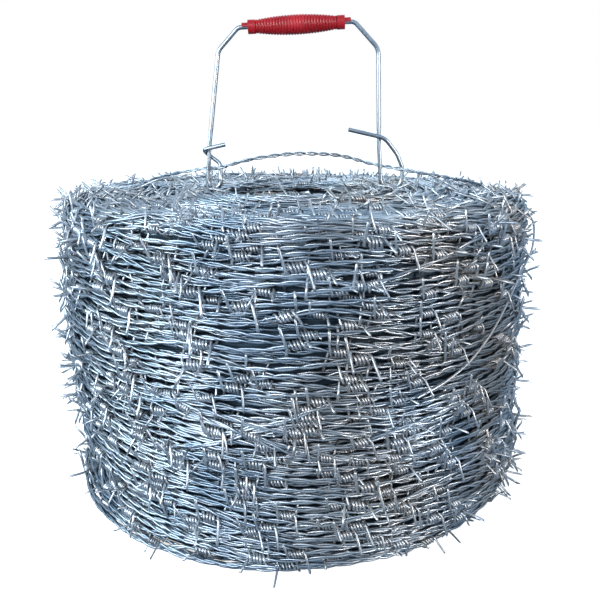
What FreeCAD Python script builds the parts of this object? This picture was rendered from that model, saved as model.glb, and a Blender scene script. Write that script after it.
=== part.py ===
import FreeCAD, Part
import math
import os
import random
import Sketcher
from FreeCAD import Placement, Rotation, Vector

# Roll of barbed wire with a bent wire carry handle and a plastic grip.
# +Z up, origin at the centre of the ring that the roll stands on, millimetres.

doc = FreeCAD.newDocument("barbed_wire_roll")
sheet = doc.addObject("Spreadsheet::Sheet", "sizes")
sheet.Label = "sizes"


DRIVING_SIZES = {
    "coil_height": 270,          # the wound roll, floor to top turns
    "coil_radius": 212,          # over the outer turns
    "bore_radius": 75,           # the open middle
    "turn_pitch": 7.6,           # from one turn to the next
    "turn_width": 4.2,           # one turn across
    "turn_edge": 1.2,            # how far the crown of a turn is cut back at its two edges
    "groove_depth": 6.5,         # from the outer turns down to the floor between them
    "sunk_turn": 2.0,            # how much deeper every second turn lies
    "top_rounding": 16,          # how far the top turns are drawn in
    "foot_rounding": 26,         # how far the bottom turns are drawn in
    "foot_edge": 0.6,            # the same beside the flat that each bottom turn rests on
    "strand_radius": 1.7,        # two line wires twisted together
    "barb_wire_radius": 0.85,    # the wire that the barbs are wound from
    "barb_reach": 17,            # point of a barb from the middle of its strand
    "barb_wrap_length": 12,      # the turns of a barb along its strand
    "barb_rows": 12,             # rings of barbs modelled on the side
    "barbs_in_row": 12,          # barbs modelled in each ring
    "top_barb_rings": 4,         # rings of barbs modelled on the top
    "barbs_in_top_ring": 6,      # barbs in each of them, before those by the handle are left out
    "handle_clear_way": 40,      # no barbs modelled nearer to the handle's plane than this
    "barb_clear_way": 3,         # room kept between a barb's points and the loose wires
    "handle_wire_radius": 2.0,   # the bent wire of the carry handle
    "handle_bend": 7,            # mean radius of the bends beside the grip
    "left_foot": 84,             # left leg's foot from the middle of the roll
    "right_foot": 81,            # right leg's foot, the same
    "left_leg_lean": 4.4,        # how far the left leg leans in over its first third
    "right_leg_lean": 6.4,       # how far the right leg leans in over its height
    "left_tail_reach": 17.5,     # tip of the left tail from its leg
    "right_tail_reach": 32.5,    # tip of the right tail, the same
    "shoulder_drop": 22.3,       # shoulders of the handle below the grip
    "bend_allowance": 3.3,       # wire between a tongue and the corner beside it
    "handle_height": 146.8,      # middle of the grip above the roll
    "left_loop": 12,             # loop at the left foot, between the middles of its wires
    "right_loop": 20,            # loop at the right foot, the same
    "hinge_height": 20,          # strand in the loops above the roll
    "grip_length": 87,           # grip between its end faces
    "grip_radius": 8.6,          # grip at its fullest
    "grip_end_radius": 5.6,      # grip beside its collars
    "collar_radius": 6.1,        # collar at each end of the grip
    "collar_length": 7.0,        # collar along the wire
    "rib_pitch": 2.6,            # from one rib of the grip to the next
    "rib_relief": 0.8,           # depth between the ribs
    "tongue_length": 5.5,        # tongue that hugs the wire past each collar
    "tongue_wall": 1.5,          # thickness of a tongue
    "grip_tilt": 2.8,            # slope of the grip in degrees, right end up
    "seat_gap": 0.25,            # clearance where one piece lies on another
    "running_gap": 0.35,         # clearance of the grip on its wire
    "stray_wire_radius": 0.9,    # a single line wire
}
for row, (alias, value) in enumerate(DRIVING_SIZES.items(), start=1):
    sheet.set(f"A{row}", alias.replace("_", " "))
    sheet.set(f"B{row}", str(value))
    sheet.setAlias(f"B{row}", alias)
doc.recompute()


def size(alias):
    return float(getattr(sheet, alias))


def spread(start, end, count):
    """Evenly spaced values from start, stopping one step before end."""
    return [start + (end - start) * step / count for step in range(count)]


# The wound roll: one ring whose section has a turn at every pitch, with open grooves between.
# On the top and the side every second turn lies a little deeper.
def turns_round(floor_rounding):
    """How many turns go round an edge: one at every pitch, if the floor has room for them."""
    quarter = math.pi / 2
    by_pitch = round((floor_rounding + size("groove_depth")) * quarter / size("turn_pitch"))
    by_room = int(floor_rounding * quarter / size("turn_width") / 1.15)
    return max(1, min(by_pitch, by_room))


def groove_floor():
    """Points along the floor of the grooves, a turn apart, bore's top edge to its bottom edge."""
    pitch = size("turn_pitch")
    depth = size("groove_depth")
    bore = size("bore_radius")
    outer = size("coil_radius") - depth
    top = size("coil_height") - depth
    bottom = depth
    top_round = size("top_rounding") - depth
    foot_round = size("foot_rounding") - depth

    top_run = outer - top_round - bore
    side_run = top - top_round - bottom - foot_round
    foot_run = outer - foot_round - bore

    points = []
    for radius in spread(bore, bore + top_run, round(top_run / pitch)):
        points.append((radius, top))
    for angle in spread(90, 0, turns_round(top_round)):
        bend = math.radians(angle)
        points.append((outer - top_round + top_round * math.cos(bend),
                       top - top_round + top_round * math.sin(bend)))
    for height in spread(top - top_round, top - top_round - side_run, round(side_run / pitch)):
        points.append((outer, height))
    for angle in spread(0, -90, turns_round(foot_round)):
        bend = math.radians(angle)
        points.append((outer - foot_round + foot_round * math.cos(bend),
                       bottom + foot_round + foot_round * math.sin(bend)))
    first_foot = len(points)
    for radius in spread(outer - foot_round, bore, round(foot_run / pitch)):
        points.append((radius, bottom))
    points.append((bore, bottom))
    return [Vector(across, up, 0) for across, up in points], first_foot


def turns_on_floor():
    """Each turn as (middle of its root, way along the floor, outward, height over the floor)."""
    points, first_foot = groove_floor()
    turns = []
    for index, (here, after) in enumerate(zip(points, points[1:])):
        along = (after - here).normalize()
        outward = Vector(-along.y, along.x, 0)
        sunk = size("sunk_turn") if index % 2 and index < first_foot else 0
        turns.append(((here + after) * 0.5, along, outward, size("groove_depth") - sunk))
    return turns, first_foot


def turn_crests():
    """Middle of every proud turn as (radius, height, outward) on the top and the side."""
    turns, first_foot = turns_on_floor()
    crests = []
    for root, along, outward, height in turns[:first_foot:2]:
        crest = root + outward * height
        crests.append((crest.x, crest.y, outward))
    return crests


coil = doc.addObject("PartDesign::Body", "wire_coil")
coil.Label = "wire_coil"


def origin_plane(body, role):
    return next(item for item in body.Origin.OriginFeatures if item.Role == role)


def sketch_on(body, name, role):
    sketch = body.newObject("Sketcher::SketchObject", name)
    sketch.AttachmentSupport = [(origin_plane(body, role), "")]
    sketch.MapMode = "FlatFace"
    return sketch


def arc_over(sketch, start, end, bulge):
    """An arc from start to end whose middle stands out by bulge, to the left of the way."""
    along = (end - start).normalize()
    middle = (start + end) * 0.5 + Vector(-along.y, along.x, 0) * bulge
    sketch.addGeometry(Part.Arc(start, middle, end), False)


def line_to(sketch, start, end):
    return sketch.addGeometry(Part.LineSegment(start, end), False)


section = sketch_on(coil, "coil_section", "XZ_Plane")
turns, first_foot = turns_on_floor()
half_turn = size("turn_width") / 2
floor_ends, _ = groove_floor()
floor_end = floor_ends[0]
for index, (root, along, outward, height) in enumerate(turns):
    edge = size("turn_edge") if index < first_foot else size("foot_edge")
    root_in = root - along * half_turn
    root_out = root + along * half_turn
    flank = outward * (height - edge)
    crown = outward * height
    corners = [floor_end, root_in, root_in + flank, root_in + crown + along * edge,
               root_out + crown - along * edge, root_out + flank, root_out]
    for start, end in zip(corners, corners[1:]):
        line_to(section, start, end)
    floor_end = root_out
line_to(section, floor_end, floor_ends[-1])
wall = line_to(section, floor_ends[-1], floor_ends[0])
wall_place = section.addConstraint(Sketcher.Constraint("DistanceX", -1, 1, wall, 1, size("bore_radius")))
section.renameConstraint(wall_place, "bore_wall")
section.setExpression("Constraints.bore_wall", "sizes.bore_radius")
doc.recompute()

wound = coil.newObject("PartDesign::Revolution", "wound_turns")
wound.Profile = section
wound.ReferenceAxis = (section, ["V_Axis"])
wound.Angle = 360
coil.Tip = wound
doc.recompute()


# Bent wires: straight runs joined by tangent arcs, swept with a round section.
def bent_route(points, radii):
    """Edges of a wire through points, rounded at each inner point with its own radius."""
    edges = []
    here = points[0]
    for before, corner, after, radius in zip(points, points[1:], points[2:], radii):
        way_in = (corner - before).normalize()
        way_out = (after - corner).normalize()
        turn = way_in.getAngle(way_out)
        setback = radius * math.tan(turn / 2)
        arc_start = corner - way_in * setback
        arc_end = corner + way_out * setback
        towards = (way_out - way_in).normalize()
        middle = corner + towards * (radius / math.cos(turn / 2) - radius)
        edges.append(Part.LineSegment(here, arc_start).toShape())
        edges.append(Part.Arc(arc_start, middle, arc_end).toShape())
        here = arc_end
    edges.append(Part.LineSegment(here, points[-1]).toShape())
    return edges


def swept_wire(label, points, radii, radius_alias):
    route = doc.addObject("Part::Feature", label + "_route")
    edges = bent_route(points, radii)
    route.Shape = Part.Wire(edges)
    ring = doc.addObject("Part::Circle", label + "_section")
    ring.setExpression("Radius", "sizes." + radius_alias)
    way = (points[1] - points[0]).normalize()
    ring.Placement = Placement(points[0], Rotation(Vector(0, 0, 1), way))
    wire = doc.addObject("Part::Sweep", label)
    wire.Label = label
    wire.Sections = [ring]
    wire.Spine = (route, [f"Edge{number + 1}" for number in range(len(edges))])
    wire.Solid = True
    wire.Frenet = False
    doc.recompute()
    wanted = math.pi * size(radius_alias) ** 2 * route.Shape.Length
    print(label, "length", round(route.Shape.Length, 1),
          "volume against section times length", round(wire.Shape.Volume / wanted, 4),
          "radii", [round(radius, 1) for radius in radii])
    return wire


# The carry handle: one wire, hooked at both feet round the strand that runs over the roll.
def handle_points():
    """Its corners, from the tail at the left foot, over the grip, to the tail at the right foot."""
    wire = size("handle_wire_radius")
    eye = size("hinge_height")
    grip_middle = size("handle_height")
    slope = math.tan(math.radians(size("grip_tilt")))
    straight = size("grip_length") / 2 + size("tongue_length") + size("bend_allowance")
    hook_floor = wire + size("seat_gap")
    beside = 2 * (wire + size("seat_gap"))

    left_leg = -size("left_foot")
    left_tail = left_leg + size("left_loop")
    wrap = left_leg + size("left_leg_lean") * 0.5 - beside
    left = [
        Vector(left_leg + size("left_tail_reach"), -beside, eye + 22),
        Vector(wrap, -beside, eye + 17.5),
        Vector(wrap, beside, eye + 14.5),
        Vector(left_tail - 0.6, beside - 1.5, eye + 4.5),
        Vector(left_tail, 0, eye / 2),
        Vector(left_tail, 0, hook_floor),
        Vector(left_leg - 0.8, 0, hook_floor),
        Vector(left_leg + size("left_leg_lean") / 2, 0, eye + 20),
        Vector(left_leg + size("left_leg_lean") * 3, 0, grip_middle - size("shoulder_drop")),
        Vector(-straight, 0, grip_middle - straight * slope),
    ]
    right_leg = size("right_foot")
    right_tail = right_leg + size("right_loop")
    right = [
        Vector(straight, 0, grip_middle + straight * slope),
        Vector(right_leg - size("right_leg_lean"), 0, grip_middle + 2 - size("shoulder_drop")),
        Vector(right_leg - size("right_leg_lean") / 2, 0, eye + 20),
        Vector(right_leg, 0, hook_floor),
        Vector(right_tail - 1, 0, hook_floor),
        Vector(right_tail, 0, eye),
        Vector(right_tail - 6, -1.5, eye + 13),
        Vector(right_leg + 1.5, -beside, eye + 28),
        Vector(right_leg - size("right_tail_reach"), -beside, eye + 35.5),
    ]
    lift = Vector(0, 0, size("coil_height"))
    return [point + lift for point in left + right]


def handle_bends():
    """The radius at each inner corner of the handle, in the same order."""
    wrap = 2 * (size("handle_wire_radius") + size("seat_gap")) - 0.2
    left_hook = size("left_loop") / 2 - 0.4
    right_hook = size("right_loop") * 0.4
    shoulder = size("handle_bend")
    return [wrap, wrap, 6, 8, left_hook, left_hook, 60, 12, shoulder,
            shoulder, 14, 60, right_hook, right_hook, 16, 18, 16]


swept_wire("handle_wire", handle_points(), handle_bends(), "handle_wire_radius")

# The grip: a moulded sleeve, ribbed and fullest in the middle, with a collar at each end.
grip = doc.addObject("PartDesign::Body", "handle_grip")
grip.Label = "handle_grip"


def grip_outline():
    """Valleys between the ribs as (place along the wire, radius), left to right."""
    half = size("grip_length") / 2 - size("collar_length")
    count = round(2 * half / size("rib_pitch"))
    full = size("grip_radius") - size("rib_relief")
    thin = size("grip_end_radius") - size("rib_relief")
    valleys = []
    for step in range(count + 1):
        along = -half + 2 * half * step / count
        fullness = math.cos(along / half * math.pi / 2) ** 0.8 if abs(along) < half else 0.0
        valleys.append((along, thin + (full - thin) * fullness))
    return valleys


profile = sketch_on(grip, "grip_section", "XY_Plane")
valleys = grip_outline()
grip_end = size("grip_length") / 2
bore = size("handle_wire_radius") + size("running_gap")
collar = size("collar_radius")
for here, after in zip(valleys, valleys[1:]):
    start = Vector(here[0], here[1], 0)
    end = Vector(after[0], after[1], 0)
    arc_over(profile, start, end, size("rib_relief"))
first = Vector(valleys[0][0], valleys[0][1], 0)
last = Vector(valleys[-1][0], valleys[-1][1], 0)
corners = [
    last,
    Vector(last.x, collar, 0),
    Vector(grip_end, collar, 0),
    Vector(grip_end, bore, 0),
    Vector(-grip_end, bore, 0),
    Vector(-grip_end, collar, 0),
    Vector(first.x, collar, 0),
    first,
]
for start, end in zip(corners, corners[1:]):
    profile.addGeometry(Part.LineSegment(start, end), False)
doc.recompute()
sleeve = grip.newObject("PartDesign::Revolution", "ribbed_sleeve")
sleeve.Profile = profile
sleeve.ReferenceAxis = (profile, ["H_Axis"])
sleeve.Angle = 360
grip.Tip = sleeve
doc.recompute()

# The tongues are two half sleeves in one pad that runs through both ends of the grip.
tongue_section = sketch_on(grip, "tongue_section", "YZ_Plane")
tongue_outer = bore + size("tongue_wall")
upper = Vector(0, 1, 0)
side = Vector(1, 0, 0)
tongue_section.addGeometry(Part.Arc(side * tongue_outer, upper * tongue_outer, side * -tongue_outer), False)
tongue_section.addGeometry(Part.LineSegment(side * -tongue_outer, side * -bore), False)
tongue_section.addGeometry(Part.Arc(side * -bore, upper * bore, side * bore), False)
tongue_section.addGeometry(Part.LineSegment(side * bore, side * tongue_outer), False)
doc.recompute()
tongues = grip.newObject("PartDesign::Pad", "tongues")
tongues.Profile = tongue_section
tongues.setExpression("Length", "sizes.grip_length + 2 * sizes.tongue_length")
tongues.Midplane = True
grip.Tip = tongues
doc.recompute()
grip.Placement = Placement(
    Vector(0, 0, size("coil_height") + size("handle_height")),
    Rotation(Vector(0, 1, 0), -size("grip_tilt")))

# The strand that runs over the roll: it rises, threads both loops of the handle and comes down.
def on_top(share, angle, height):
    """A place over the top: share of the way from the bore to the side, and angle from the right."""
    turn = math.radians(angle)
    radius = size("bore_radius") + share * (size("coil_radius") - size("bore_radius"))
    return Vector(radius * math.cos(turn), radius * math.sin(turn), size("coil_height") + height)


def over_strand_points():
    lie = size("strand_radius") + size("seat_gap")
    eye = size("hinge_height")
    top = size("coil_height")
    left_eye = -size("left_foot") + size("left_loop") / 2 + 0.3
    right_eye = size("right_foot") + size("right_loop") / 2
    return [
        on_top(0.77, 189, lie),
        on_top(0.64, 177, lie),
        on_top(0.49, 167, 9),
        on_top(0.28, 163, 15.5),
        Vector(left_eye - 3.5, 19, top + eye - 0.5),
        Vector(left_eye + 3.5, -19, top + eye + 0.5),
        Vector(left_eye + 32, -22, top + eye + 9),
        Vector(left_eye + 75, -8, top + eye + 14.5),
        Vector(right_eye - 49, 8, top + eye + 12),
        Vector(right_eye - 18, 16, top + eye + 3),
        Vector(right_eye + 13, -18, top + eye - 1),
        on_top(0.43, -9.5, 14),
        on_top(0.62, -3, 9),
        on_top(0.785, 4.5, lie),
        on_top(0.83, 13.5, lie),
    ]


def gentle_bends(points):
    """The widest radius that the runs at each inner corner leave room for."""
    radii = []
    for before, corner, after in zip(points, points[1:], points[2:]):
        turn = (corner - before).getAngle(after - corner)
        radii.append(0.45 * min((corner - before).Length, (after - corner).Length) / math.tan(turn / 2))
    return radii


strand_route = over_strand_points()
swept_wire("over_strand", strand_route, gentle_bends(strand_route), "strand_radius")


# Two single wires: a short stray one on the top at the left, and the roll's outer end.
def stray_points():
    lie = size("stray_wire_radius") + size("seat_gap")
    return [
        on_top(0.56, 181, lie),
        on_top(0.43, 180, lie + 8),
        on_top(0.29, 192, lie + 13),
        on_top(0.2, 204, lie + 5),
        on_top(0.22, 216, lie),
        on_top(0.27, 222, lie),
    ]


def on_side(angle, below_top, stand_off):
    """A place just outside the roll, by its angle from the right and its depth below the top."""
    turn = math.radians(angle)
    radius = size("coil_radius") + size("stray_wire_radius") + size("seat_gap") + stand_off
    return Vector(radius * math.cos(turn), radius * math.sin(turn), size("coil_height") - below_top)


def end_wire_points():
    """From the top turns it bows out, then runs down across the turns, clear of them by a hair."""
    return [
        on_side(-10, 16, 0),
        on_side(-16, 24, 5),
        on_side(-22, 43, 5),
        on_side(-31, 58, 0.6),
        on_side(-39, 78, 0.6),
        on_side(-46, 98, 0.6),
        on_side(-53, 114, 0.6),
        on_side(-60, 124, 0.6),
        on_side(-66, 130, 0.6),
    ]


stray_route = stray_points()
swept_wire("stray_wire", stray_route, gentle_bends(stray_route), "stray_wire_radius")
end_route = end_wire_points()
swept_wire("end_wire", end_route, gentle_bends(end_route), "stray_wire_radius")


# The barbs that stand out: the outer part of each wrap, and the two points that face outward.
def barb_shape():
    """A barb on a strand along X, its outward side up."""
    wire = size("barb_wire_radius")
    strand = size("strand_radius")
    reach = size("barb_reach")
    length = size("barb_wrap_length")
    gap = size("seat_gap")
    wrap = Part.makeCylinder(strand + 2 * wire, length, Vector(-length / 2, 0, 0), Vector(1, 0, 0))
    span = 2 * (strand + 2 * wire)
    above = Part.makeBox(length, span, span, Vector(-length / 2, -span / 2, strand + gap))
    solid = wrap.common(above)
    for lean, along in ((-42.0, -length / 4), (48.0, length / 4)):
        slant = math.radians(lean)
        way = Vector(0.12, math.sin(slant), math.cos(slant)).normalize()
        start = Vector(along, 0, 0) + way * (strand + gap + 2.4 * wire)
        spike = Part.makeCone(wire, 0.3 * wire, reach - start.Length, start, way)
        foot = Part.makeCylinder(wire, 2.2 * wire, start - way * 2.2 * wire, way)
        solid = solid.fuse(spike.fuse(foot).common(
            Part.makeBox(4 * reach, 4 * reach, 2 * reach, Vector(-2 * reach, -2 * reach, strand + gap))))
    return solid.removeSplitter()


def barb_places():
    """Where the barbs sit: on crests of the side in rings, and on the top away from the handle."""
    crests = turn_crests()
    strand = size("strand_radius")
    side_crests = [crest for crest in crests if abs(crest[2].y) < 0.1]
    top_crests = [crest for crest in crests if crest[2].y > 0.99]
    rows = int(size("barb_rows"))
    per_row = int(size("barbs_in_row"))
    scatter = random.Random(11)
    places = []
    for row in range(rows):
        radius, height, outward = side_crests[1 + round(row * (len(side_crests) - 3) / (rows - 1))]
        for number in range(per_row):
            angle = 360 * (number + 0.5 * (row % 2) + 0.3 * scatter.random()) / per_row
            places.append((radius, height, angle, 90.0))
    rings = int(size("top_barb_rings"))
    per_ring = int(size("barbs_in_top_ring"))
    for ring in range(rings):
        share = (ring + 0.7) / (rings + 0.2)
        radius, height, outward = top_crests[round(share * (len(top_crests) - 1))]
        for number in range(per_ring):
            angle = 360 * (number + 0.5) / per_ring + 11 * ring + 15
            near_handle = abs(radius * math.sin(math.radians(angle))) < size("handle_clear_way")
            if not near_handle:
                places.append((radius, height, angle, 0.0))
    loose_wires = Part.Compound([doc.getObject(wire + "_route").Shape
                                 for wire in ("over_strand", "stray_wire", "end_wire")])
    clear = size("barb_reach") + size("barb_clear_way")
    matrices = []
    for radius, height, angle, tilt in places:
        face = Rotation(Vector(0, 1, 0), tilt) * Rotation(Vector(0, 0, 1), 90)
        turn = Rotation(Vector(0, 0, 1), angle)
        outward = turn.multVec(Vector(math.sin(math.radians(tilt)), 0, math.cos(math.radians(tilt))))
        crest = turn.multVec(Vector(radius, 0, height))
        if Part.Vertex(crest).distToShape(loose_wires)[0] > clear:
            matrices.append(Placement(crest - outward * strand, turn * face))
    return matrices


one_barb = barb_shape()
placed_barbs = []
for place in barb_places():
    copy = one_barb.copy()
    copy.Placement = place
    placed_barbs.append(copy)
barbs = doc.addObject("Part::Feature", "barbs")
barbs.Label = "barbs"
barbs.Shape = Part.Compound(placed_barbs)
doc.recompute()

# Every feature has to have worked, and every piece has to be sound, before anything is written.
broken = [item.Name for item in doc.Objects if "Invalid" in item.State or "Error" in item.State]
if broken:
    raise SystemExit(f"failed features: {broken}")
nodes = ["wire_coil", "over_strand", "stray_wire", "end_wire", "barbs", "handle_wire", "handle_grip"]
os.makedirs("parts", exist_ok=True)
for name in nodes:
    piece = doc.getObjectsByLabel(name)[0]
    if piece.Shape.isNull() or not piece.Shape.isValid():
        raise SystemExit(f"{name} has no sound shape")
    piece.Shape.exportStep(f"parts/{name}.step")
    box = piece.Shape.BoundBox
    print(name, len(piece.Shape.Solids), "solids", round(piece.Shape.Volume / 1000, 1), "cm3",
          [round(v, 1) for v in (box.XMin, box.YMin, box.ZMin, box.XMax, box.YMax, box.ZMax)])
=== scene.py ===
import math

import bpy
import numpy as np
from mathutils import Euler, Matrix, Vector


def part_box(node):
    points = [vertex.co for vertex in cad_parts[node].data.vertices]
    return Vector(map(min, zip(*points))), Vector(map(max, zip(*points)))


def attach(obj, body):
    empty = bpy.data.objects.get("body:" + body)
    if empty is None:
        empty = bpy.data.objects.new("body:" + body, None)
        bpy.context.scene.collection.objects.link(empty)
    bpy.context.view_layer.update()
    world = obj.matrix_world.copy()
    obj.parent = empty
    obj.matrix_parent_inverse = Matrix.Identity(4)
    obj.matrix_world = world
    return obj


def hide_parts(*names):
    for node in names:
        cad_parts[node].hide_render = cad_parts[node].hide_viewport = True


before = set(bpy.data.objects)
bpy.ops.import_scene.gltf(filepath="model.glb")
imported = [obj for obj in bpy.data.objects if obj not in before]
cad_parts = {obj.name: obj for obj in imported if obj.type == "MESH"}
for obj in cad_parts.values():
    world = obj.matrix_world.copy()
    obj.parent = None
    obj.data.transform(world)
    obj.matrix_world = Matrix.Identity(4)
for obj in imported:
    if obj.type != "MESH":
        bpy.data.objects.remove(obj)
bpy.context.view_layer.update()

# The camera stands where the photograph was taken from, a little above the top of the roll.
# Its distance, height, tilt and lens were solved from the rims of the roll.
CAMERA_PLACE = (0.0, -0.6287, 0.331)
CAMERA_TILT = math.radians(15.2)
CAMERA_TURN = math.radians(-0.31)
CAMERA_LENS = 39.0
camera_data = bpy.data.cameras.new("camera")
camera_data.lens = CAMERA_LENS
camera_data.sensor_width = 36.0
camera_data.clip_start = 0.01
camera = bpy.data.objects.new("camera", camera_data)
camera.location = CAMERA_PLACE
camera.rotation_euler = Euler((math.pi / 2 - CAMERA_TILT, 0.0, CAMERA_TURN), "XYZ")
bpy.context.scene.collection.objects.link(camera)
bpy.context.scene.camera = camera
bpy.context.scene.view_settings.view_transform = "Standard"


# The floor is a plain sheet that the roll stands on. The picture shows it white, and it throws
# little light back up, so the undersides of the wires stay dark.
def plain_floor():
    """A wide sheet, white to the camera and dim and bluish to the wires."""
    half = 30.0
    mesh = bpy.data.meshes.new("floor")
    mesh.from_pydata([(-half, -half, 0), (half, -half, 0), (half, half, 0), (-half, half, 0)],
                     [], [(0, 1, 2, 3)])
    floor = bpy.data.objects.new("floor", mesh)
    bpy.context.scene.collection.objects.link(floor)
    paint = bpy.data.materials.new("pale_floor")
    paint.use_nodes = True
    nodes, links = paint.node_tree.nodes, paint.node_tree.links
    white = nodes["Principled BSDF"]
    white.inputs["Base Color"].default_value = (1.0, 0.985, 0.97, 1.0)
    white.inputs["Roughness"].default_value = 0.9
    white.inputs["Emission Color"].default_value = (1.0, 1.0, 1.0, 1.0)
    white.inputs["Emission Strength"].default_value = 0.75
    dim = nodes.new("ShaderNodeBsdfDiffuse")
    dim.inputs["Color"].default_value = (0.21, 0.29, 0.37, 1.0)
    seen = nodes.new("ShaderNodeLightPath")
    either = nodes.new("ShaderNodeMixShader")
    links.new(seen.outputs["Is Camera Ray"], either.inputs["Fac"])
    links.new(dim.outputs["BSDF"], either.inputs[1])
    links.new(white.outputs["BSDF"], either.inputs[2])
    links.new(either.outputs["Shader"], nodes["Material Output"].inputs["Surface"])
    mesh.materials.append(paint)


plain_floor()


# The light is a bright overcast studio: a pale dome, cool soft boxes from the left and the front,
# a small, weaker warm one from the right, and one behind that edges the wires.
def soft_light(name, place, aim, side, watts, colour):
    """A square soft box that looks at one place."""
    data = bpy.data.lights.new(name, "AREA")
    data.shape = "SQUARE"
    data.size = side
    data.energy = watts
    data.color = colour
    lamp = bpy.data.objects.new(name, data)
    lamp.location = place
    way = Vector(aim) - Vector(place)
    lamp.rotation_euler = way.to_track_quat("-Z", "Y").to_euler()
    bpy.context.scene.collection.objects.link(lamp)


def studio_dome():
    """Plain white behind the roll, and for the wires a bright cool sky over a dim horizon."""
    dome = bpy.data.worlds.new("dome")
    dome.use_nodes = True
    nodes, links = dome.node_tree.nodes, dome.node_tree.links
    white = nodes["Background"]
    white.inputs["Color"].default_value = (1.0, 1.0, 1.0, 1.0)
    sky = nodes.new("ShaderNodeBackground")
    sky.inputs["Strength"].default_value = 1.08
    way = nodes.new("ShaderNodeTexCoord")
    split = nodes.new("ShaderNodeSeparateXYZ")
    tones = nodes.new("ShaderNodeValToRGB")
    stops = ((0.0, (0.09, 0.13, 0.17, 1)), (0.12, (0.23, 0.33, 0.42, 1)),
             (0.40, (0.58, 0.73, 0.88, 1)), (1.0, (0.26, 0.38, 0.52, 1)))
    for place, colour in stops[1:3]:
        tones.color_ramp.elements.new(place)
    for stop, (place, colour) in zip(tones.color_ramp.elements, stops):
        stop.position = place
        stop.color = colour
    seen = nodes.new("ShaderNodeLightPath")
    either = nodes.new("ShaderNodeMixShader")
    links.new(way.outputs["Generated"], split.inputs["Vector"])
    links.new(split.outputs["Z"], tones.inputs["Fac"])
    links.new(tones.outputs["Color"], sky.inputs["Color"])
    links.new(seen.outputs["Is Camera Ray"], either.inputs["Fac"])
    links.new(sky.outputs["Background"], either.inputs[1])
    links.new(white.outputs["Background"], either.inputs[2])
    links.new(either.outputs["Shader"], nodes["World Output"].inputs["Surface"])
    bpy.context.scene.world = dome


soft_light("left_box", (-2.2, -0.9, 1.0), (0, 0, 0.15), 1.3, 41, (0.75, 0.92, 1.0))
soft_light("front_box", (-1.1, -2.2, 1.2), (0, 0, 0.15), 1.3, 38, (0.92, 0.95, 1.0))
soft_light("warm_box", (1.5, -1.3, 0.5), (0, 0, 0.10), 0.45, 14, (1.0, 0.94, 0.88))
soft_light("back_box", (0.3, 1.8, 1.6), (0, 0, 0.2), 1.2, 10, (0.80, 0.92, 1.0))
studio_dome()

# The roll is one long strand of two line wires twisted together, wound turn on turn round an
# open bore. Each turn lies where its neighbours leave room, so the turns wander, climb over one
# another and leave dark gaps between them.
MM = 0.001
roll_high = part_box("wire_coil")[1]
ROLL_RADIUS = roll_high[0]
ROLL_TOP = roll_high[2]
BORE_RADIUS = 75 * MM
TOP_ROUNDING = 14 * MM
FOOT_ROUNDING = 24 * MM
OUTLINE_STEP = 0.5 * MM
LINE_WIRE_RADIUS = 0.9 * MM
END_TAPER = 0.05
STRAND_RADIUS = 1.75 * MM
STRAND_ROOM = 2.3 * MM
STRAND_LAY = 37 * MM
WRAP_REACH = 3.5 * MM
FLOOR_GAP = 0.3 * MM
WAVES = 9


def section_outline():
    """Points round the roll's section, bore to top to side to foot to bore.

    Each row holds the radius, the height and the outward direction in the section's plane.
    """
    inner, outer, top = BORE_RADIUS, ROLL_RADIUS, ROLL_TOP
    step = OUTLINE_STEP
    rows = []
    for radius in np.arange(inner, outer - TOP_ROUNDING, step):
        rows.append((radius, top, 0.0, 1.0))
    for angle in np.arange(0.0, math.pi / 2, step / TOP_ROUNDING):
        rows.append((outer - TOP_ROUNDING * (1 - math.sin(angle)),
                     top - TOP_ROUNDING * (1 - math.cos(angle)), math.sin(angle), math.cos(angle)))
    for height in np.arange(top - TOP_ROUNDING, FOOT_ROUNDING, -step):
        rows.append((outer, height, 1.0, 0.0))
    for angle in np.arange(0.0, math.pi / 2, step / FOOT_ROUNDING):
        rows.append((outer - FOOT_ROUNDING * (1 - math.cos(angle)),
                     FOOT_ROUNDING * (1 - math.sin(angle)), math.cos(angle), -math.sin(angle)))
    for radius in np.arange(outer - FOOT_ROUNDING, inner, -step):
        rows.append((radius, 0.0, 0.0, -1.0))
    return np.array(rows)


OUTLINE = section_outline()
OUTLINE_LENGTH = (len(OUTLINE) - 1) * OUTLINE_STEP
FOOT_SHARE = 1 - (ROLL_RADIUS - FOOT_ROUNDING - BORE_RADIUS) / OUTLINE_LENGTH
FOOT_BEGIN = FOOT_SHARE - 0.03

# Each bulge and waist of the settled roll: angle, its spread, height, its spread, and how far out.
SETTLED_BULGES = (
    (200, 38, 165, 60, 5.5),
    (200, 26, 41, 10, -11.0),
    (205, 30, 10, 12, 3.0),
    (238, 56, 0, 11, 20.0),
    (339, 34, 42, 26, 5.5),
    (265, 40, 120, 50, 2.0),
    (60, 45, 90, 50, 4.0),
    (120, 40, 190, 45, 3.5),
)

# Where the turns on the top are heaped: place, spread across and along the view, and how high.
TOP_HEAPS = (
    (0, -98, 110, 24, 5.5),
    (-82, -30, 20, 9, 11.0),
    (-78, -68, 30, 12, 5.0),
    (78, -50, 40, 17, 6.0),
    (-150, 22, 18, 18, 5.0),
    (150, -45, 34, 26, 4.5),
    (110, 90, 60, 40, 3.0),
    (-60, 140, 70, 30, 3.0),
)


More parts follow.
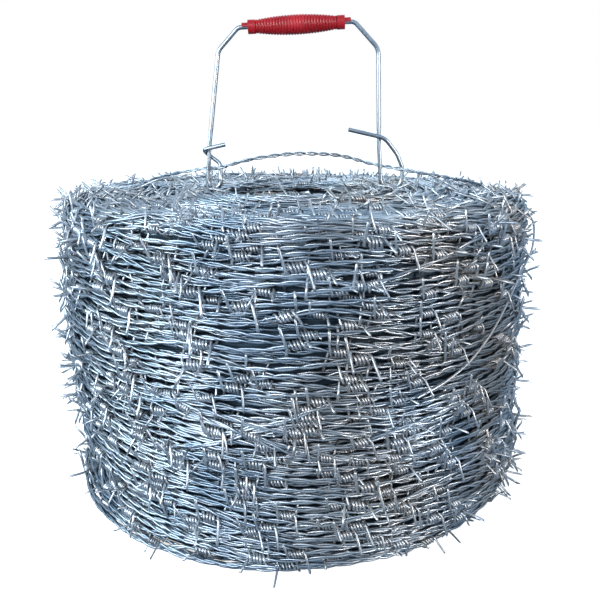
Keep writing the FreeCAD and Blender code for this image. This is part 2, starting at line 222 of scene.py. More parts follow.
def settled(places):
    """Places of a true ring, moved to where they lie in the roll that has settled."""
    angle = np.degrees(np.arctan2(places[:, 1], places[:, 0]))
    radius = np.hypot(places[:, 0], places[:, 1])
    share = np.clip((radius - BORE_RADIUS) / (ROLL_RADIUS - BORE_RADIUS), 0, 1) ** 2
    out = np.zeros(len(places))
    for around, width, height, tall, amount in SETTLED_BULGES:
        turn = (angle - around + 180) % 360 - 180
        out += amount * MM * np.exp(-(turn / width) ** 2
                                    - ((places[:, 2] / MM - height) / tall) ** 2)
    wide = 1 + out * share / np.maximum(radius, 1 * MM)
    rise = np.zeros(len(places))
    for x, y, across, deep, amount in TOP_HEAPS:
        rise += amount * MM * np.exp(-((places[:, 0] / MM - x) / across) ** 2
                                     - ((places[:, 1] / MM - y) / deep) ** 2)
    rise *= np.clip((places[:, 2] - ROLL_TOP) / (25 * MM) + 1, 0, 1)
    return np.stack([places[:, 0] * wide, places[:, 1] * wide, places[:, 2] + rise], axis=-1)


def on_section(along, depth, angle):
    """Places and outward directions from places along the outline, depths and turn angles."""
    marks = along / OUTLINE_STEP
    radius, height, out_radius, out_height = (
        np.interp(marks, np.arange(len(OUTLINE)), OUTLINE[:, column]) for column in range(4))
    radius = radius - out_radius * depth
    height = height - out_height * depth
    places = np.stack([radius * np.cos(angle), radius * np.sin(angle), height], axis=-1)
    outward = np.stack([out_radius * np.cos(angle), out_radius * np.sin(angle), out_height], axis=-1)
    return settled(places), outward


def wandering(turns, slowest, fastest, amount, scatter):
    """A smooth wander along the turns: waves of several lengths, none of which repeats."""
    total = np.zeros_like(turns)
    weight = 0.0
    for number in range(WAVES):
        rate = slowest * (fastest / slowest) ** ((number + scatter.random()) / WAVES)
        share = (slowest / rate) ** 0.5
        total += share * np.sin(2 * math.pi * (rate * turns + scatter.random()))
        weight += share ** 2 / 2
    return total * amount / math.sqrt(weight)


# Each spiral: name, pitch, depth, first and last share of the outline, tilt of its turns, wander,
# lift and seed. The rates below say how often in a turn the tilt, the wander and the lift change.
SPIRALS = (
    ("outer", 9.2, 1.9, 0.0, 1.0, 6.5, 2.5, 0.9, 41),
    ("second", 9.2, 3.6, 0.0, FOOT_SHARE, 5.0, 2.6, 1.0, 42),
    ("third", 8.6, 5.9, 0.0, FOOT_SHARE, 3.5, 2.6, 1.0, 43),
    ("fourth", 9.6, 8.6, 0.10, FOOT_SHARE - 0.02, 3.0, 2.4, 1.0, 44),
)
SWELL_RATE = 0.035
SWAY_RATE = 0.05
WANDER_RATES = (4.5, 15.0)
LIFT_RATES = (3.0, 13.0)
PLACES_IN_TURN = 180
BARB_SPACING = 104 * MM
BARB_SHIFT = 0.3
SETTLING_ROUNDS = 70
SETTLING_GIVE = 0.28
NEIGHBOURS = 8
FAR_OFF = 100


def wound_spirals():
    """Every spiral's turns, pushed apart until no two strands share the same room.

    Gives for each spiral its places, its outward directions and the numbers of the places
    that carry a barb.
    """
    spirals, sections, rows_before = {}, [], 0
    for name, pitch, depth, begin, end, tilt, wander, lift, seed in SPIRALS:
        scatter = np.random.default_rng(seed)
        first, last = begin * OUTLINE_LENGTH, end * OUTLINE_LENGTH
        count = int((last - first) / (pitch * MM) * PLACES_IN_TURN)
        turns = np.arange(count) / PLACES_IN_TURN
        swell = tilt * MM * np.sin(2 * math.pi * (turns * SWELL_RATE + scatter.random()))
        sway = tilt * MM * np.sin(2 * math.pi * (turns * SWAY_RATE + scatter.random()))
        around = 2 * math.pi * turns
        along = first + turns * pitch * MM + swell * np.sin(around) + sway * np.cos(around)
        along = along + wandering(turns, *WANDER_RATES, wander * MM, scatter)
        along = np.clip(along, first, last)
        deep = depth * MM + wandering(turns, *LIFT_RATES, lift * MM, scatter)
        start = int(scatter.integers(PLACES_IN_TURN))
        reach = np.interp(along / OUTLINE_STEP, np.arange(len(OUTLINE)), OUTLINE[:, 0])
        length = np.cumsum(reach) * 2 * math.pi / PLACES_IN_TURN
        marks = np.arange(BARB_SPACING / 2, length[-1], BARB_SPACING)
        marks = marks + scatter.uniform(-BARB_SHIFT, BARB_SHIFT, len(marks)) * BARB_SPACING
        barbs = np.clip(np.searchsorted(length, marks), 2, count - 3)
        thick = np.full(count, STRAND_ROOM)
        thick[barbs] = WRAP_REACH
        thick[barbs - 1] = thick[barbs + 1] = (WRAP_REACH + STRAND_ROOM) / 2
        rows = (start + count) // PLACES_IN_TURN + 1
        block = np.zeros((3, rows * PLACES_IN_TURN))
        block[0] = FAR_OFF + np.repeat(np.arange(rows), PLACES_IN_TURN) + rows_before
        block[:, start:start + count] = along, deep, thick
        sections.append(block)
        begins = rows_before * PLACES_IN_TURN + start
        spirals[name] = (slice(begins, begins + count), barbs)
        rows_before += rows
    along0, deep0, thick = np.concatenate(sections, axis=1)
    shape = (rows_before, PLACES_IN_TURN)
    used = thick > 0
    underneath = along0 > FOOT_BEGIN * OUTLINE_LENGTH
    least = np.where(underneath, thick + FLOOR_GAP, STRAND_RADIUS)
    moves = np.zeros((2, along0.size))
    along, deep = along0.copy(), np.maximum(deep0, least)
    for _ in range(SETTLING_ROUNDS):
        push = pushed_apart(along.reshape(shape), deep.reshape(shape), thick.reshape(shape))
        moves = moves + push.reshape(2, -1) * used
        moves = (np.roll(moves, 1, axis=1) + 2 * moves + np.roll(moves, -1, axis=1)) / 4
        along = np.where(used, np.clip(along0 + moves[0], 0, OUTLINE_LENGTH), along0)
        deep = np.maximum(deep0 + moves[1], least)
    angle = 2 * math.pi * (np.arange(along.size) % PLACES_IN_TURN) / PLACES_IN_TURN
    laid = {}
    for name, (span, barbs) in spirals.items():
        laid[name] = on_section(along[span], deep[span], angle[span]) + (barbs,)
    return laid


def pushed_apart(along, deep, thick):
    """How far each strand gives way to those it would overlap, in the section at every angle."""
    order = np.argsort(along, axis=0)
    places = np.stack([np.take_along_axis(part, order, axis=0) for part in (along, deep)])
    room = np.take_along_axis(thick, order, axis=0)
    push = np.zeros_like(places)
    for near in range(1, NEIGHBOURS + 1):
        gap = places[:, near:] - places[:, :-near]
        apart = np.hypot(gap[0], gap[1]) + 1e-7
        overlap = np.clip(room[near:] + room[:-near] - apart, 0, None)
        give = gap * SETTLING_GIVE * overlap / apart
        push[:, near:] += give
        push[:, :-near] -= give
    back = np.empty_like(push)
    for part in range(2):
        np.put_along_axis(back[part], order, push[part], axis=0)
    return back


def unit(arrows):
    """The same arrows, each one long."""
    return arrows / np.maximum(np.linalg.norm(arrows, axis=-1, keepdims=True), 1e-12)


def evenly(places, outward, step):
    """The same line, with its places an even step apart and its corners eased."""
    runs = np.linalg.norm(np.diff(places, axis=0), axis=1)
    length = np.concatenate([[0.0], np.cumsum(runs)])
    marks = np.linspace(0, length[-1], max(int(length[-1] / step), 4))
    even, facing = (np.stack([np.interp(marks, length, line[:, axis]) for axis in range(3)], axis=-1)
                    for line in (places, outward))
    even[1:-1] = (even[:-2] + 2 * even[1:-1] + even[2:]) / 4
    return even, facing


def ring_faces(rings, around):
    """Four-cornered faces between rings of corners, each ring closed on itself."""
    along = np.arange(rings - 1)[:, None]
    turn = np.arange(around)[None, :]
    beside = (turn + 1) % around
    return np.stack([along * around + turn, along * around + beside,
                     (along + 1) * around + beside, (along + 1) * around + turn],
                    axis=-1).reshape(-1, 4)


def round_wire(middle, facing, radius, sides):
    """Corners and faces of a round wire along a line of middles."""
    way = unit(np.gradient(middle, axis=0))
    up = unit(facing - (facing * way).sum(-1, keepdims=True) * way)
    across = np.cross(way, up)
    angles = np.arange(sides) * 2 * math.pi / sides
    ring = (np.cos(angles)[None, :, None] * up[:, None, :]
            + np.sin(angles)[None, :, None] * across[:, None, :])
    thickness = np.full(len(middle), radius * 2 / (1 + math.cos(math.pi / sides)))
    thickness[[0, -1]] *= END_TAPER
    corners = middle[:, None, :] + ring * thickness[:, None, None]
    return corners.reshape(-1, 3), ring_faces(len(middle), sides)


def join(parts):
    """One list of corners and one of faces from several."""
    corners, faces, shift = [], [], 0
    for part_corners, part_faces in parts:
        corners.append(part_corners)
        faces.append(part_faces + shift)
        shift += len(part_corners)
    return np.concatenate(corners), np.concatenate(faces)


# How unevenly the two wires are twisted, and how far they stand apart where the twist is loose.
TWIST_RATES = (1.0, 6.0)
TWIST_SLACK = 1.1
WIRES_APART = 1.02
LOOSE_APART = 0.2
LOOSE_RATES = (2.0, 9.0)


def twisted_pair(places, outward, sides, lay, scatter):
    """The two line wires of a strand along its middle line."""
    runs = np.linalg.norm(np.diff(places, axis=0), axis=1)
    length = np.concatenate([[0.0], np.cumsum(runs)])
    way = unit(np.gradient(places, axis=0))
    up = unit(outward - (outward * way).sum(-1, keepdims=True) * way)
    across = np.cross(way, up)
    uneven = wandering(length, *TWIST_RATES, 1.0, scatter)
    twist = 2 * math.pi * length / lay + uneven * TWIST_SLACK
    loose = np.clip(wandering(length, *LOOSE_RATES, 1.0, scatter), 0, 1.5)
    apart = LINE_WIRE_RADIUS * (WIRES_APART + LOOSE_APART * loose)
    wires = []
    for half_turn in (0.0, math.pi):
        swing = (np.cos(twist + half_turn)[:, None] * up
                 + np.sin(twist + half_turn)[:, None] * across)
        wires.append(round_wire(places + swing * apart[:, None], up, LINE_WIRE_RADIUS, sides))
    return join(wires)


def made(name, corners, faces, paint, body, slot):
    """A piece from arrays of corners and four-cornered faces, on its body. The slot is not used."""
    mesh = bpy.data.meshes.new(name)
    mesh.vertices.add(len(corners))
    mesh.vertices.foreach_set("co", np.asarray(corners, dtype=np.float32).ravel())
    mesh.loops.add(faces.size)
    mesh.loops.foreach_set("vertex_index", np.asarray(faces, dtype=np.int32).ravel())
    mesh.polygons.add(len(faces))
    mesh.polygons.foreach_set("loop_start", np.arange(0, faces.size, 4, dtype=np.int32))
    mesh.polygons.foreach_set("use_smooth", np.full(len(faces), True))
    mesh.update(calc_edges=True)
    mesh.materials.append(paint)
    piece = bpy.data.objects.new(name, mesh)
    bpy.context.scene.collection.objects.link(piece)
    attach(piece, body)
    return piece


def zinc_tone():
    """Uneven zinc: cloudy grey-blue spangle, with duller and brighter stretches of wire, and patches
    of a second tint that grow stronger towards the right.
    """
    group = bpy.data.node_groups.new("zinc_tone", "ShaderNodeTree")
    face = group.interface
    for name, kind in (("Bright", "NodeSocketColor"), ("Dull", "NodeSocketColor"),
                       ("Patch tint", "NodeSocketColor"), ("Cloud size", "NodeSocketFloat")):
        face.new_socket(name, in_out="INPUT", socket_type=kind)
    face.new_socket("Colour", in_out="OUTPUT", socket_type="NodeSocketColor")
    face.new_socket("Roughness", in_out="OUTPUT", socket_type="NodeSocketFloat")
    face.new_socket("Relief", in_out="OUTPUT", socket_type="NodeSocketFloat")
    nodes, links = group.nodes, group.links
    asked = nodes.new("NodeGroupInput")
    given = nodes.new("NodeGroupOutput")
    place = nodes.new("ShaderNodeTexCoord")

    def noise(scale, detail):
        cloud = nodes.new("ShaderNodeTexNoise")
        cloud.inputs["Detail"].default_value = detail
        cloud.inputs["Scale"].default_value = scale
        links.new(place.outputs["Object"], cloud.inputs["Vector"])
        return cloud

    def between(value, low, high, to_low, to_high):
        ramp = nodes.new("ShaderNodeMapRange")
        ramp.inputs["From Min"].default_value = low
        ramp.inputs["From Max"].default_value = high
        ramp.inputs["To Min"].default_value = to_low
        ramp.inputs["To Max"].default_value = to_high
        links.new(value, ramp.inputs["Value"])
        return ramp.outputs["Result"]

    def mixed(share, first, second):
        mix = nodes.new("ShaderNodeMix")
        mix.data_type = "RGBA"
        links.new(share, mix.inputs["Factor"])
        links.new(first, mix.inputs["A"])
        links.new(second, mix.inputs["B"])
        return mix.outputs["Result"]

    cloud = noise(60.0, 2.0)
    links.new(asked.outputs["Cloud size"], cloud.inputs["Scale"])
    fine = noise(420.0, 2.0)
    patch = noise(11.0, 1.0)
    split = nodes.new("ShaderNodeSeparateXYZ")
    links.new(place.outputs["Object"], split.inputs["Vector"])
    # Patches of the second tint, at random, weak on the left and growing towards the right (+X) of the
    # roll.
    patches_to_right = nodes.new("ShaderNodeMath")
    patches_to_right.operation = "MULTIPLY"
    links.new(between(split.outputs["X"], -0.12, 0.16, 0.25, 1.0), patches_to_right.inputs[0])
    links.new(between(patch.outputs["Fac"], 0.44, 0.62, 0, 0.8), patches_to_right.inputs[1])
    clouded = mixed(between(cloud.outputs["Fac"], 0.36, 0.64, 0, 1),
                    asked.outputs["Dull"], asked.outputs["Bright"])
    patched = mixed(patches_to_right.outputs["Value"], clouded, asked.outputs["Patch tint"])
    links.new(patched, given.inputs["Colour"])
    links.new(between(fine.outputs["Fac"], 0.3, 0.7, 0.38, 0.26), given.inputs["Roughness"])
    links.new(fine.outputs["Fac"], given.inputs["Relief"])
    return group


ZINC_TONE = zinc_tone()


def galvanised(name, bright, dull, patch_tint, metal, cloud_size, bump):
    """Galvanised steel wire: bright zinc with a cloudy, slightly rough skin."""
    paint = bpy.data.materials.new(name)
    paint.use_nodes = True
    nodes, links = paint.node_tree.nodes, paint.node_tree.links
    shader = nodes["Principled BSDF"]
    shader.inputs["Metallic"].default_value = metal
    tone = nodes.new("ShaderNodeGroup")
    tone.node_tree = ZINC_TONE
    tone.inputs["Bright"].default_value = bright + (1.0,)
    tone.inputs["Dull"].default_value = dull + (1.0,)
    tone.inputs["Patch tint"].default_value = patch_tint + (1.0,)
    tone.inputs["Cloud size"].default_value = cloud_size
    relief = nodes.new("ShaderNodeBump")
    relief.inputs["Strength"].default_value = bump
    relief.inputs["Distance"].default_value = 0.0002
    links.new(tone.outputs["Colour"], shader.inputs["Base Color"])
    links.new(tone.outputs["Roughness"], shader.inputs["Roughness"])
    links.new(tone.outputs["Relief"], relief.inputs["Height"])
    links.new(relief.outputs["Normal"], shader.inputs["Normal"])
    return paint


OUTER_ZINC = galvanised("outer_zinc", (0.64, 0.69, 0.74), (0.28, 0.35, 0.42),
                        (0.47, 0.43, 0.40), 0.95, 28.0, 0.04)
# The deepest turns take a darker, bluer zinc: painted shade for the turns that little light reaches.
DEEP_SHADE_ZINC = galvanised("deep_shade_zinc", (0.40, 0.49, 0.58), (0.17, 0.25, 0.33),
                        (0.28, 0.27, 0.26), 0.9, 28.0, 0.04)

# Each stretch of turns as one piece: name, spiral, shares of the spiral, step, sides, zinc, seed.
TOP_END = 0.27
SIDE_END = 0.74
SECOND_TOP_END = 0.34
TURN_PIECES = (
    ("outer_top_turns", "outer", 0.0, TOP_END, 4.8, 5, OUTER_ZINC, 71),
    ("outer_side_turns", "outer", TOP_END, SIDE_END, 4.8, 5, OUTER_ZINC, 72),
    ("outer_foot_turns", "outer", SIDE_END, 1.0, 9.0, 4, OUTER_ZINC, 73),
    ("second_top_turns", "second", 0.0, SECOND_TOP_END, 5.4, 4, OUTER_ZINC, 74),
    ("second_side_turns", "second", SECOND_TOP_END, 1.0, 5.4, 4, OUTER_ZINC, 75),
    ("third_turns", "third", 0.0, 1.0, 7.4, 3, OUTER_ZINC, 76),
    ("fourth_turns", "fourth", 0.0, 1.0, 10.5, 3, DEEP_SHADE_ZINC, 77),
)
WOUND = wound_spirals()
for name, spiral, begin, end, step, sides, zinc, seed in TURN_PIECES:
    places, outward = WOUND[spiral][:2]
    span = slice(int(begin * (len(places) - 1)), int(end * (len(places) - 1)) + 1)
    line = evenly(places[span], outward[span], step * MM)
    made(name, *twisted_pair(*line, sides, STRAND_LAY, np.random.default_rng(seed)),
         zinc, "roll", "galvanised_strand")


# The bore's wall is the innermost turns, which lie close together as they came off the reel.
# They are the same strand, seen from inside.
BORE_PITCH = 6.5 * MM
BORE_RATES = (0.8, 5.0)
BORE_RIM = 4 * MM


def bore_turns():
    """The innermost turns from the foot to the top, kept just behind the bore's wall."""
    scatter = np.random.default_rng(31)
    low, high = BORE_RIM, ROLL_TOP - BORE_RIM
    turns = np.linspace(0, (high - low) / BORE_PITCH, 5000)
    angle = 2 * math.pi * turns
    height = low + turns * BORE_PITCH + wandering(turns, *BORE_RATES, 1.6 * MM, scatter)
    height = np.clip(height, low, high)
    radius = BORE_RADIUS + 2.0 * MM + np.abs(wandering(turns, *BORE_RATES, 0.8 * MM, scatter))
    places = np.stack([radius * np.cos(angle), radius * np.sin(angle), height], axis=-1)
    inward = np.stack([-np.cos(angle), -np.sin(angle), np.zeros_like(angle)], axis=-1)
    return evenly(places, inward, 9.0 * MM)


BORE_ZINC = galvanised("bore_zinc", (0.62, 0.60, 0.58), (0.38, 0.34, 0.31),
                       (0.45, 0.40, 0.35), 0.8, 40.0, 0.04)
made("bore_turns", *twisted_pair(*bore_turns(), 3, STRAND_LAY, np.random.default_rng(32)),
     BORE_ZINC, "roll", "galvanised_strand")

# The strand doesn't lie in even turns only: some stretches cross the others at a slant, on the top,
# over the rim and down the side, but never where the handle's feet have to swing.
CROSSING_TURNS = 58
CROSSING_SWEEP = (45, 110)
CROSSING_BEGIN = (0.02, 0.72)
CROSSING_DRIFT = (14, 60)
CROSSING_DEPTH = (-1.4, 0.9)
CROSSING_SINK = 5
CROSSING_STEP = 4.8 * MM
HANDLE_FEET = (50 * MM, 118 * MM)
HANDLE_SWEEP = 22 * MM
HANDLE_ROOM = 4 * MM
LOOSE_WIRE_ROOM = 3.5 * MM


def loose_wires():
    """Places on the skins of the wires that lie loose on the roll."""
    places = []
    for node in ("end_wire", "stray_wire", "over_strand"):
        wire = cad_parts[node]
        places += [wire.matrix_world @ corner.co for corner in wire.data.vertices][::3]
    return np.array(places)


LOOSE_WIRES = loose_wires()


def crossing_turn(scatter):
    """A stretch that slants over its neighbours, with both ends sunk among them."""
    marks = np.linspace(0, 1, 70)
    ease = marks * marks * (3 - 2 * marks)
    begin_angle = 2 * math.pi * scatter.random()
    angle = begin_angle + math.radians(scatter.uniform(*CROSSING_SWEEP)) * marks
    begin = scatter.uniform(*CROSSING_BEGIN) * OUTLINE_LENGTH
    drift = scatter.choice([-1, 1]) * scatter.uniform(*CROSSING_DRIFT) * MM
    along = np.clip(begin + drift * ease, 3 * MM, SIDE_END * OUTLINE_LENGTH)
    along = along + wandering(marks, 1.0, 5.0, 1.2 * MM, scatter)
    sunk = 1 - np.sin(np.pi * marks) ** 0.5
    depth = (scatter.uniform(*CROSSING_DEPTH) + CROSSING_SINK * sunk) * MM
    return on_section(along, depth, angle)


def by_handle(places, room):
    """Whether any place is where the handle's feet swing."""
    beside, along_swing = np.abs(places[:, 0]), np.abs(places[:, 1])
    under_feet = (beside > HANDLE_FEET[0]) & (beside < HANDLE_FEET[1])
    swept = (along_swing < HANDLE_SWEEP + room) & (places[:, 2] > ROLL_TOP - 1 * MM)
    return (under_feet & swept).any()


def by_loose_wires(places, room):
    """Whether any place is within that room of one of the wires that lie loose on the roll."""
    apart = np.linalg.norm(places[:, None, :] - LOOSE_WIRES[None, :, :], axis=-1)
    return apart.min() < room


def crossing_lines():
    """The middle lines of the crossing stretches, clear of the handle and the loose wires."""
    scatter = np.random.default_rng(91)
    lines = []
    while len(lines) < CROSSING_TURNS:
        places, outward = crossing_turn(scatter)
        if not by_handle(places, HANDLE_ROOM) and not by_loose_wires(places, LOOSE_WIRE_ROOM):
            lines.append(evenly(places, outward, CROSSING_STEP))
    return lines


CROSSING_LINES = crossing_lines()
CROSSING_TWIST = np.random.default_rng(92)
made("crossing_turns", *join([twisted_pair(*line, 4, STRAND_LAY, CROSSING_TWIST)
                              for line in CROSSING_LINES]), OUTER_ZINC, "roll", "galvanised_strand")

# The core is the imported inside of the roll, where turn lies on turn and little light gets in.
# It stands in for the hundreds of turns that nobody sees, close under the outer ones.
CORE_DEPTH = 11.0 * MM
CORE_BORE_GAP = 4.5 * MM
CORE_FOOT_SHARE = 0.62
CORE_SIDES = 96
CORE_EVERY = 16


def packed_core():
    """A closed ring a little inside the roll's outline, less deep at the foot."""
    outline = OUTLINE[::CORE_EVERY]
    count = len(outline)
    angles = np.arange(CORE_SIDES) * 2 * math.pi / CORE_SIDES
    inner, outer = BORE_RADIUS + CORE_BORE_GAP, ROLL_RADIUS - CORE_DEPTH
    radius = np.clip(outline[:, 0] - outline[:, 2] * CORE_DEPTH, inner, outer)
    under = np.where(outline[:, 3] < 0, CORE_FOOT_SHARE, 1.0)
    height = outline[:, 1] - outline[:, 3] * CORE_DEPTH * under
    places = np.stack([radius[:, None] * np.cos(angles), radius[:, None] * np.sin(angles),
                       np.repeat(height[:, None], CORE_SIDES, axis=1)], axis=-1).reshape(-1, 3)
    faces = ring_faces(count + 1, CORE_SIDES)
    return settled(places), faces % (count * CORE_SIDES)


def painted_shade_turns():
    """Packed turns in deep shade, painted: stripes of dark strands round the roll with black between,
    a colour that stands in for the shade deep in the winding.
    """
    paint = bpy.data.materials.new("painted_shade_turns")
    paint.use_nodes = True
    nodes, links = paint.node_tree.nodes, paint.node_tree.links
    shader = nodes["Principled BSDF"]
    shader.inputs["Roughness"].default_value = 0.6
    shader.inputs["Metallic"].default_value = 0.5
    place = nodes.new("ShaderNodeTexCoord")
    stretch = nodes.new("ShaderNodeMapping")
    stretch.inputs["Scale"].default_value = (14, 14, 260)
    wires = nodes.new("ShaderNodeTexNoise")
    wires.inputs["Scale"].default_value = 1.0
    wires.inputs["Detail"].default_value = 3.0
    # Near-black navy stripes: painted shade of the deep turns.
    tones = nodes.new("ShaderNodeValToRGB")
    tones.color_ramp.elements[0].position = 0.48
    tones.color_ramp.elements[0].color = (0.006, 0.014, 0.024, 1)
    tones.color_ramp.elements[1].position = 0.7
    tones.color_ramp.elements[1].color = (0.05, 0.09, 0.13, 1)
    relief = nodes.new("ShaderNodeBump")
    relief.inputs["Strength"].default_value = 0.8
    relief.inputs["Distance"].default_value = 0.003
    links.new(place.outputs["Object"], stretch.inputs["Vector"])
    links.new(stretch.outputs["Vector"], wires.inputs["Vector"])
    links.new(wires.outputs["Fac"], tones.inputs["Fac"])
    links.new(tones.outputs["Color"], shader.inputs["Base Color"])
    links.new(wires.outputs["Fac"], relief.inputs["Height"])
    links.new(relief.outputs["Normal"], shader.inputs["Normal"])
    return paint


core = made("packed_core", *packed_core(), painted_shade_turns(), "roll", "galvanised_strand")
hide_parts("wire_coil")

# Each barb is two short wires wound round the strand side by side, cut off to four sharp points.
# The barbs sit at nearly even distances along the strand, mostly with their points along the roll.
BARB_WIRE_RADIUS = 0.98 * MM
BARB_WRAP_RADIUS = 2.75 * MM
BARB_WRAP_TURNS = (2.47, 2.28)
SHORTER_WRAPS = 0.35
BARB_WRAP_PITCH = 4.2 * MM
BARB_WRAP_SPREAD = 1.6 * MM
BARB_POINT = 14.0 * MM
BARB_POINT_LEAN = 0.16
BARB_POINT_LIFTS = (0.12, 0.10)
BARB_POINT_BEND = 0.45
BARB_CUT = 1.5
BARB_TRIES = 14
SPIKE_HEIGHTS = (6, 13)
LOOSE_WIRE_NEAR = 22 * MM
LOOSE_WIRE_GAP = 2.5 * MM
LIES_ON_TOP = 0.7


def barb_wire(phase, wraps, steps, sides):
    """One of a barb's two wires: a point, the turns round a strand along X, and a point."""
    marks = np.linspace(0, wraps, int(wraps * steps) + 1)
    swing = 2 * math.pi * marks + phase
    off_middle = marks - wraps / 2
    loose = BARB_WRAP_SPREAD * np.clip(np.abs(off_middle) * 2 - wraps + 0.9, 0, 1)
    along = off_middle * BARB_WRAP_PITCH + np.sign(off_middle) * loose
    out = np.stack([np.zeros_like(swing), np.cos(swing), np.sin(swing)], axis=-1)
    wrap = out * BARB_WRAP_RADIUS
    wrap[:, 0] = along
    points = []
    for end, turn in ((0, -1), (-1, 1)):
        tangent = np.array([BARB_POINT_LEAN * turn, -out[end][2] * turn, out[end][1] * turn])
        way = unit(tangent + BARB_POINT_LIFTS[0] * out[end])
        bend = wrap[end] + way * BARB_POINT_BEND * BARB_POINT
        tip_way = unit(way + BARB_POINT_LIFTS[1] * out[end])
        points.append((bend, bend + tip_way * (1 - BARB_POINT_BEND) * BARB_POINT))
    middle = np.concatenate([[points[0][1], points[0][0]], wrap, [points[1][0], points[1][1]]])
    facing = np.concatenate([[out[0], out[0]], out, [out[-1], out[-1]]])
    way = unit(np.gradient(middle, axis=0))
    up = unit(facing - (facing * way).sum(-1, keepdims=True) * way)
    across = np.cross(way, up)
    angles = np.arange(sides) * 2 * math.pi / sides
    ring = (np.cos(angles)[None, :, None] * up[:, None, :]
            + np.sin(angles)[None, :, None] * across[:, None, :]) * BARB_WIRE_RADIUS
    slant = np.cos(angles)[:, None] * BARB_WIRE_RADIUS * BARB_CUT
    ring[0] += slant * way[0]
    ring[-1] -= slant * way[-1]
    corners = (middle[:, None, :] + ring).reshape(-1, 3)
    faces = ring_faces(len(middle), sides)
    if sides == 4:
        last = len(corners)
        caps = np.array([[3, 2, 1, 0], [last - 4, last - 3, last - 2, last - 1]])
        faces = np.concatenate([faces, caps])
    return corners, faces


def barb_patterns(steps, sides):
    """The barb with its four points in line, and the one whose points stand out crosswise."""
    return [join([barb_wire(phase, wraps, steps, sides) for phase in (0.0, math.pi)])
            for wraps in BARB_WRAP_TURNS]


def barbs_on(places, outward, marks, patterns, upright, small, large, scatter):
    """Barbs at the marks of a line, each turned its own way and clear of floor and handle."""
    parts = []
    for mark in marks:
        way = unit(places[mark + 1] - places[mark - 1])
        up = unit(outward[mark] - (outward[mark] @ way) * way)
        across = np.cross(way, up)
        corners, faces = patterns[int(scatter.random() < SHORTER_WRAPS)]
        size = scatter.uniform(small, large)
        crowded = by_loose_wires(places[mark:mark + 1], LOOSE_WIRE_NEAR)
        highest = max(ROLL_TOP, places[mark][2]) + scatter.uniform(*SPIKE_HEIGHTS) * MM
        lean = scatter.uniform(-1, 1, BARB_TRIES)
        if up[2] < LIES_ON_TOP:
            lean = lean ** 3
        for turn in upright * lean + scatter.integers(0, 2, BARB_TRIES) * math.pi:
            side = up * math.cos(turn) + across * math.sin(turn)
            depth = across * math.cos(turn) - up * math.sin(turn)
            placed = places[mark] + size * (corners[:, :1] * way + corners[:, 1:2] * side
                                            + corners[:, 2:] * depth)
            fits = FLOOR_GAP < placed[:, 2].min() and placed[:, 2].max() < highest
            if crowded and by_loose_wires(placed[::3], LOOSE_WIRE_GAP):
                continue
            if fits and not by_handle(placed, 0):
                parts.append((placed, faces))
                break
    return parts


BARB_ZINC = galvanised("barb_zinc", (0.72, 0.74, 0.77), (0.46, 0.48, 0.51),
                       (0.56, 0.50, 0.45), 0.85, 60.0, 0.04)
SHADED_BARB_ZINC = galvanised("shaded_barb_zinc", (0.44, 0.49, 0.56), (0.24, 0.28, 0.34),
                              (0.30, 0.28, 0.26), 0.8, 60.0, 0.04)
FULL_BARB = barb_patterns(7, 4)
EASED_BARB = barb_patterns(6, 4)
PLAIN_BARB = barb_patterns(5, 3)

# Each piece of barbs: name, spiral, shares of the spiral, pattern, one barb in how many, widest
# lean, smallest and largest size, zinc, seed.
BARB_PIECES = (
    ("top_barbs", "outer", 0.0, TOP_END, FULL_BARB, 1, 1.6, 0.9, 1.1, BARB_ZINC, 61),
    ("side_barbs", "outer", TOP_END, SIDE_END, FULL_BARB, 1, 1.3, 0.95, 1.25, BARB_ZINC, 62),
    ("foot_barbs", "outer", SIDE_END, 1.0, PLAIN_BARB, 1, 1.6, 0.9, 1.1, BARB_ZINC, 63),
    ("second_top_barbs", "second", 0.0, SECOND_TOP_END, EASED_BARB, 1, 1.6, 0.9, 1.1, BARB_ZINC, 64),
    ("second_side_barbs", "second", SECOND_TOP_END, 1.0, EASED_BARB, 1, 1.0, 0.85, 1.1, BARB_ZINC, 65),
    ("third_barbs", "third", 0.0, 1.0, PLAIN_BARB, 4, 1.6, 0.8, 0.95, SHADED_BARB_ZINC, 66),
)
for name, spiral, begin, end, pattern, every, upright, small, large, zinc, seed in BARB_PIECES:
    places, outward, marks = WOUND[spiral]
    marks = marks[(marks >= begin * len(places)) & (marks < end * len(places))][::every]
    barbs = made(name, *join(barbs_on(places, outward, marks, pattern, upright, small, large,
                                      np.random.default_rng(seed))),
                 zinc, "roll", "galvanised_strand")
    if name == "side_barbs":
        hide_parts("barbs")


def crossing_barbs():
    """Barbs on the crossing stretches, as far apart as on the rest of the strand."""
    scatter = np.random.default_rng(67)
    apart = round(BARB_SPACING / CROSSING_STEP)
    parts = []
    for places, outward in CROSSING_LINES:
        marks = np.arange(int(scatter.integers(8, 20)), len(places) - 6, apart)
        parts += barbs_on(places, outward, marks, EASED_BARB, 1.6, 0.85, 1.1, scatter)
    return join(parts)


made("crossing_barbs", *crossing_barbs(), BARB_ZINC, "roll", "galvanised_strand")

# The loose strand is the same wire as the roll. It comes up out of the turns at the left, threads
# both loops of the handle in a low arch, and goes down among the turns at the right.
LOOSE_STRAND_LAY = 23 * MM
WINDING_RADIUS = 212 * MM
BEND_SHARE = 0.45
PLACES_IN_BEND = 13


def on_top(share, angle, height):
    """A place over the winding's top, by its share of the way from bore to rim."""
    turn = math.radians(angle)
    radius = BORE_RADIUS + share * (WINDING_RADIUS - BORE_RADIUS)
    return (radius * math.cos(turn), radius * math.sin(turn), ROLL_TOP + height * MM)


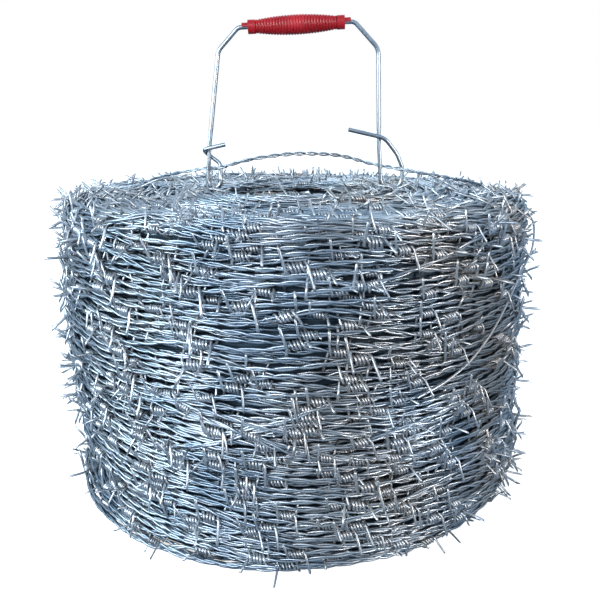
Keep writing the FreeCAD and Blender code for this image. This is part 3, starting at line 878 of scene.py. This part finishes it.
LOOSE_STRAND_ROUTE = (
    on_top(0.80, 186, -6.0), on_top(0.66, 177, -2.0), on_top(0.49, 167, 9), on_top(0.28, 163, 15.5),
    (-0.0812, 0.019, 0.2895), (-0.0742, -0.019, 0.2905), (-0.0457, -0.022, 0.299),
    (-0.0027, -0.008, 0.3045), (0.042, 0.008, 0.302), (0.073, 0.016, 0.293),
    (0.104, -0.018, 0.289), on_top(0.43, -9.5, 14), on_top(0.62, -3, 9),
    on_top(0.785, 4.5, 1.95), on_top(0.83, 13.5, 1.95),
)


def bent(route):
    """A stiff wire along the route: every corner is as wide a bend as its two runs leave room for."""
    corners = np.array(route)
    line = [corners[:1]]
    for before, corner, after in zip(corners, corners[1:], corners[2:]):
        reach = BEND_SHARE * min(np.linalg.norm(corner - before), np.linalg.norm(after - corner))
        way_in, way_out = unit(corner - before), unit(after - corner)
        half_turn = math.acos(float(np.clip(way_in @ way_out, -1, 1))) / 2
        radius = reach / math.tan(half_turn)
        middle = corner + unit(way_out - way_in) * radius / math.cos(half_turn)
        spoke = corner - way_in * reach - middle
        swing = np.linspace(0, 2 * half_turn, PLACES_IN_BEND)[:, None]
        line.append(middle + spoke * np.cos(swing) + way_in * radius * np.sin(swing))
    line.append(corners[-1:])
    return np.concatenate(line)


loose_line = bent(LOOSE_STRAND_ROUTE)
loose_up = np.tile([0.0, 0.0, 1.0], (len(loose_line), 1))
loose_strand = made("loose_strand", *twisted_pair(*evenly(loose_line, loose_up, 1.6 * MM), 8,
                                                  LOOSE_STRAND_LAY, np.random.default_rng(51)),
                    OUTER_ZINC, "roll", "galvanised_strand")
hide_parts("over_strand")


# Two single line wires lie loose on the roll: a short stray one on the top and the outer end,
# which runs down across the turns at the right. Their shapes are the frame's own.
def repaint(node, paint):
    """The frame's own piece, with this material in place of its plain one."""
    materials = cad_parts[node].data.materials
    materials.clear()
    materials.append(paint)


# Both take the barb zinc, which is brighter than the roll's. On the stray wire that brightness is
# partly the wire's own zinc and partly painted highlight along it.
repaint("stray_wire", BARB_ZINC)
repaint("end_wire", BARB_ZINC)

# The handle wire is one piece of 4 mm galvanised wire, bent cold. Its skin is smoother and more
# even than the fence wire's.
HANDLE_ZINC = galvanised("handle_zinc", (0.52, 0.56, 0.60), (0.38, 0.42, 0.46),
                         (0.42, 0.42, 0.42), 0.95, 45.0, 0.03)
repaint("handle_wire", HANDLE_ZINC)


# The grip is one sleeve moulded in red plastic, ribbed all round for the hand, with a collar and a
# short tongue at each end. Handling has left it duller in some places than in others.
def red_plastic():
    """Red moulded plastic, a little uneven in colour and gloss, with a fine grain."""
    paint = bpy.data.materials.new("red_grip")
    paint.use_nodes = True
    nodes, links = paint.node_tree.nodes, paint.node_tree.links
    shader = nodes["Principled BSDF"]
    place = nodes.new("ShaderNodeTexCoord")
    cloud = nodes.new("ShaderNodeTexNoise")
    cloud.inputs["Scale"].default_value = 70.0
    cloud.inputs["Detail"].default_value = 3.0
    grain = nodes.new("ShaderNodeTexNoise")
    grain.inputs["Scale"].default_value = 1400.0
    tones = nodes.new("ShaderNodeValToRGB")
    tones.color_ramp.elements[0].position = 0.35
    tones.color_ramp.elements[0].color = (0.36, 0.006, 0.010, 1)
    tones.color_ramp.elements[1].position = 0.65
    tones.color_ramp.elements[1].color = (0.50, 0.012, 0.020, 1)
    gloss = nodes.new("ShaderNodeMapRange")
    gloss.inputs["To Min"].default_value = 0.24
    gloss.inputs["To Max"].default_value = 0.46
    relief = nodes.new("ShaderNodeBump")
    relief.inputs["Strength"].default_value = 0.12
    relief.inputs["Distance"].default_value = 0.0002
    for noise in (cloud, grain):
        links.new(place.outputs["Object"], noise.inputs["Vector"])
    links.new(cloud.outputs["Fac"], tones.inputs["Fac"])
    links.new(cloud.outputs["Fac"], gloss.inputs["Value"])
    links.new(tones.outputs["Color"], shader.inputs["Base Color"])
    links.new(gloss.outputs["Result"], shader.inputs["Roughness"])
    links.new(grain.outputs["Fac"], relief.inputs["Height"])
    links.new(relief.outputs["Normal"], shader.inputs["Normal"])
    return paint


repaint("handle_grip", red_plastic())
